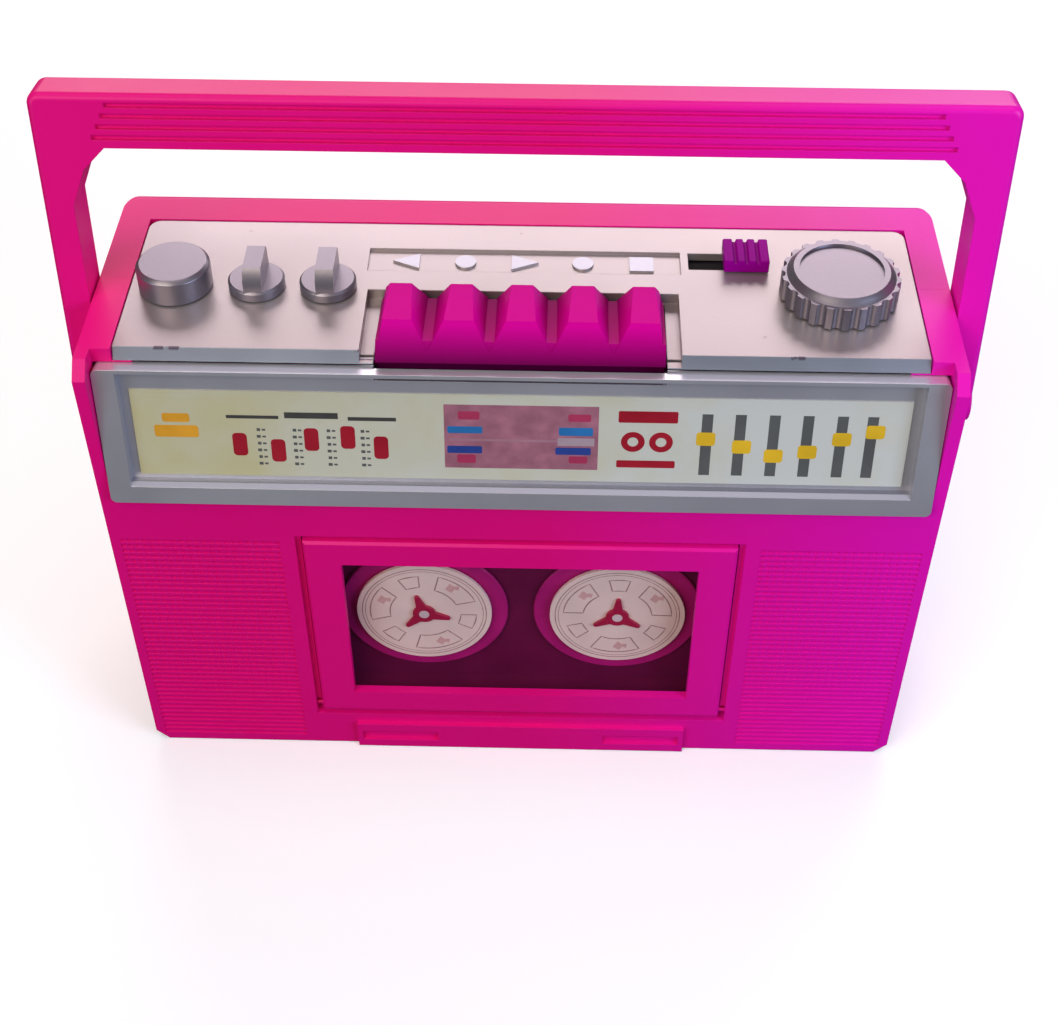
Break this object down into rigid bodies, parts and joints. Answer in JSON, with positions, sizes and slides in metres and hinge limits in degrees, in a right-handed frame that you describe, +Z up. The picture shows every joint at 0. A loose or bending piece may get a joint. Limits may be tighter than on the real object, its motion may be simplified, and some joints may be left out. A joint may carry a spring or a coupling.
{
  "type": "wind-up toy boombox",
  "caption": "Child's wind-up musical toy boombox with a folding carry handle, silvered controls, a row of piano keys, a dial label and a windowed cassette door with turning reels.",
  "frame": {"origin": "middle of the base, on the table it stands on", "axes": "+Z up, +X to the right as seen from the front, +Y from the front towards the back"},
  "size_m": [0.172, 0.0575, 0.1448],
  "materials": {
    "pink_plastic": "satin moulded plastic",
    "silvered_plastic": "vacuum-silvered satin plastic",
    "cream_label": "aged printed label",
    "clear_plastic": "clear moulded plastic",
    "maroon_card": "dark backing plate",
    "white_disc": "printed white disc",
    "red_plastic": "moulded plastic",
    "white_nylon": "nylon",
    "black_plastic": "moulded plastic",
    "belt_rubber": "rubber",
    "steel": "plated steel",
    "brass": "turned brass"
  },
  "bodies": {
    "case": {"front_shell": "pink_plastic", "rear_shell": "pink_plastic", "case_screws": "steel", "top_panel": "silvered_plastic", "dial_bezel": "silvered_plastic", "dial_label": "cream_label", "door_pin": "steel", "reel_deck": "maroon_card", "deck_screws": "steel", "reel_bracket": "white_nylon", "drive_belt": "belt_rubber", "movement_frame": "steel", "movement_screws": "steel", "comb": "steel", "comb_screws": "steel", "handle_pins": "pink_plastic"},
    "handle": {"handle": "pink_plastic"},
    "door": {"cassette_door": "pink_plastic", "door_window": "clear_plastic"},
    "reel_left": {"left_reel": "white_disc", "left_spider": "red_plastic", "left_spindle": "white_nylon"},
    "reel_right": {"right_reel": "white_disc", "right_spider": "red_plastic", "right_spindle": "white_nylon"},
    "keys": {"key_block": "pink_plastic", "key_springs": "steel"},
    "volume": {"volume_knob": "silvered_plastic", "volume_clip": "white_nylon"},
    "tone": {"tone_knob": "silvered_plastic", "tone_clip": "white_nylon"},
    "balance": {"balance_knob": "silvered_plastic", "balance_clip": "white_nylon"},
    "winder": {"wind_knob": "silvered_plastic", "winding_arbor": "steel"},
    "switch": {"switch_knob": "pink_plastic", "switch_slider": "black_plastic"},
    "barrel": {"spring_barrel": "brass"},
    "drum": {"music_drum": "brass", "drum_arbor": "steel", "crown_pinion": "brass", "worm_wheel": "brass"},
    "fly": {"governor": "brass"}
  },
  "joints": [
    {"name": "handle_fold", "type": "hinge", "parent": "case", "child": "handle", "pos_m": [0, -0.0067, 0.084], "axis": [-1, 0, 0], "range_deg": [-15, 106]},
    {"name": "door_open", "type": "hinge", "parent": "case", "child": "door", "pos_m": [0, -0.0269, 0.01245], "axis": [1, 0, 0], "range_deg": [0, 50]},
    {"name": "left_reel_spin", "type": "hinge", "parent": "case", "child": "reel_left", "pos_m": [-0.01995, -0.02, 0.0372], "axis": [0, 1, 0], "continuous": true},
    {"name": "right_reel_spin", "type": "hinge", "parent": "case", "child": "reel_right", "pos_m": [0.01995, -0.02, 0.0372], "axis": [0, 1, 0], "continuous": true},
    {"name": "drum_spin", "type": "hinge", "parent": "case", "child": "drum", "pos_m": [0.0589, 0, 0.076], "axis": [0, 1, 0], "continuous": true},
    {"name": "barrel_spin", "type": "hinge", "parent": "case", "child": "barrel", "pos_m": [0.0589, -0.0026, 0.09], "axis": [0, 0, 1], "continuous": true},
    {"name": "fly_spin", "type": "hinge", "parent": "case", "child": "fly", "pos_m": [0.04835, 0.0128, 0.085], "axis": [0, 0, 1], "continuous": true},
    {"name": "volume_turn", "type": "hinge", "parent": "case", "child": "volume", "pos_m": [-0.0652, -0.0026, 0.105], "axis": [0, 0, 1], "range_deg": [-135, 135]},
    {"name": "tone_turn", "type": "hinge", "parent": "case", "child": "tone", "pos_m": [-0.0499, -0.0026, 0.105], "axis": [0, 0, 1], "range_deg": [-135, 135]},
    {"name": "balance_turn", "type": "hinge", "parent": "case", "child": "balance", "pos_m": [-0.0365, -0.0026, 0.105], "axis": [0, 0, 1], "range_deg": [-135, 135]},
    {"name": "wind_turn", "type": "hinge", "parent": "case", "child": "winder", "pos_m": [0.0589, -0.0026, 0.105], "axis": [0, 0, 1], "range_deg": [0, 1080]},
    {"name": "key_press", "type": "slide", "parent": "case", "child": "keys", "axis": [0, 0, -1], "range_m": [0, 0.0018], "stiffness_N_per_m": 400, "springref_m": -0.002},
    {"name": "switch_slide", "type": "slide", "parent": "case", "child": "switch", "axis": [1, 0, 0], "range_m": [-0.006, 0]}
  ],
  "couplings": [
    {"joint": "left_reel_spin", "follows": "drum_spin", "ratio": 1},
    {"joint": "right_reel_spin", "follows": "drum_spin", "ratio": 1},
    {"joint": "barrel_spin", "follows": "drum_spin", "ratio": 0.9},
    {"joint": "fly_spin", "follows": "drum_spin", "ratio": 36}
  ]
}
